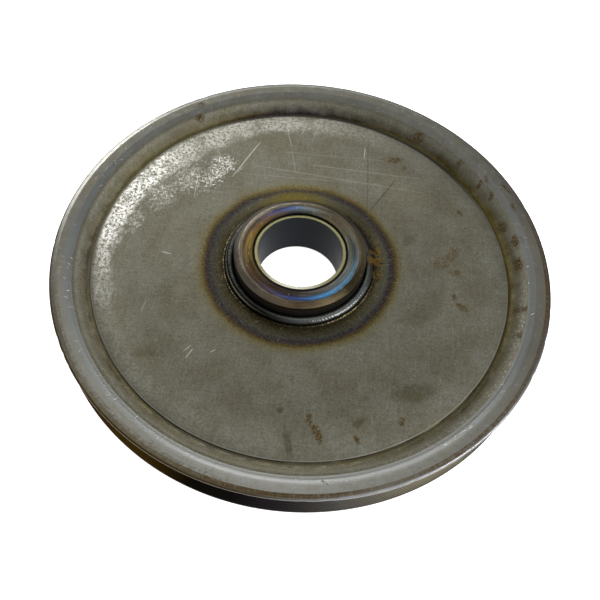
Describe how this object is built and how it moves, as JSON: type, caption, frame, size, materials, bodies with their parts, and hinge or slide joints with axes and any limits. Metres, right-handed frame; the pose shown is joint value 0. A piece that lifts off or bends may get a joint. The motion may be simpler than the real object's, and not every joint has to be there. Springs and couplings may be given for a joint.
{
  "type": "rope sheave",
  "caption": "Roll-forged steel wire rope sheave: a thin web with a round-bottomed rope groove at its edge, a turned hub welded through the middle and a lined plain bush.",
  "frame": {"origin": "middle of the bush's bore, half way between the two hub faces", "axes": "+Z along the bore, up out of the hub face that is shown; -Y points to the viewer; X runs left to right"},
  "size_m": [0.35, 0.35, 0.038],
  "materials": {
    "forged_steel": "bare mill-finished steel plate, satin, with light scratches and rust specks",
    "turned_steel": "turned steel with heat tint from welding",
    "weld_metal": "dark glossy as-welded bead",
    "bush_metal": "pale yellow sheet metal, satin cut edge",
    "bush_lining": "dark blue-grey low-friction lining, satin"
  },
  "bodies": {
    "root": {"sheave_disc": "forged_steel", "hub": "turned_steel", "weld_bead_upper": "weld_metal", "weld_bead_lower": "weld_metal", "bush_shell": "bush_metal", "bush_lining": "bush_lining"}
  },
  "joints": []
}
